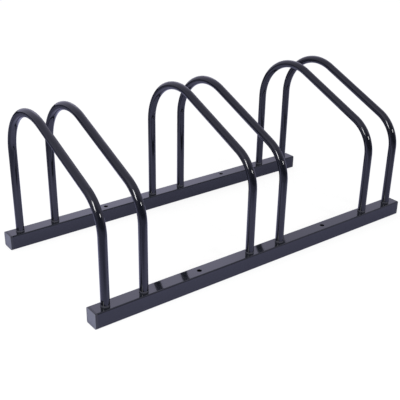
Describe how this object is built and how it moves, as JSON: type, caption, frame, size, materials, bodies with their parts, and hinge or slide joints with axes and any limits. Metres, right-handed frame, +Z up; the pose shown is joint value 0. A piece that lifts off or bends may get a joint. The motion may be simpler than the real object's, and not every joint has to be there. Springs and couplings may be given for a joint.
{
  "type": "floor bike stand",
  "caption": "Floor rack of square steel rails and paired bent-tube hoops; a bicycle's front wheel stands upright between the hoops of a pair.",
  "frame": {"origin": "on the floor, in the middle of the stand's length and depth", "axes": "+X along the rails to the right as seen from the front, -Y to the front where the hoops are low, +Z up"},
  "size_m": [0.76, 0.36, 0.304],
  "materials": {
    "black_coat": "gloss",
    "plug_plastic": "matte",
    "zinc_steel": "satin"
  },
  "bodies": {
    "root": {"front_rail": "black_coat", "front_rail_left_end_plug": "plug_plastic", "front_rail_right_end_plug": "plug_plastic", "front_bolts": "zinc_steel", "front_washers": "zinc_steel", "rear_rail": "black_coat", "rear_rail_left_end_plug": "plug_plastic", "rear_rail_right_end_plug": "plug_plastic", "rear_bolts": "zinc_steel", "rear_washers": "zinc_steel", "left_bay_left_hoop": "black_coat", "left_bay_left_front_leg_plug": "plug_plastic", "left_bay_left_rear_leg_plug": "plug_plastic", "left_bay_right_hoop": "black_coat", "left_bay_right_front_leg_plug": "plug_plastic", "left_bay_right_rear_leg_plug": "plug_plastic", "middle_bay_left_hoop": "black_coat", "middle_bay_left_front_leg_plug": "plug_plastic", "middle_bay_left_rear_leg_plug": "plug_plastic", "middle_bay_right_hoop": "black_coat", "middle_bay_right_front_leg_plug": "plug_plastic", "middle_bay_right_rear_leg_plug": "plug_plastic", "right_bay_left_hoop": "black_coat", "right_bay_left_front_leg_plug": "plug_plastic", "right_bay_left_rear_leg_plug": "plug_plastic", "right_bay_right_hoop": "black_coat", "right_bay_right_front_leg_plug": "plug_plastic", "right_bay_right_rear_leg_plug": "plug_plastic"}
  },
  "joints": []
}
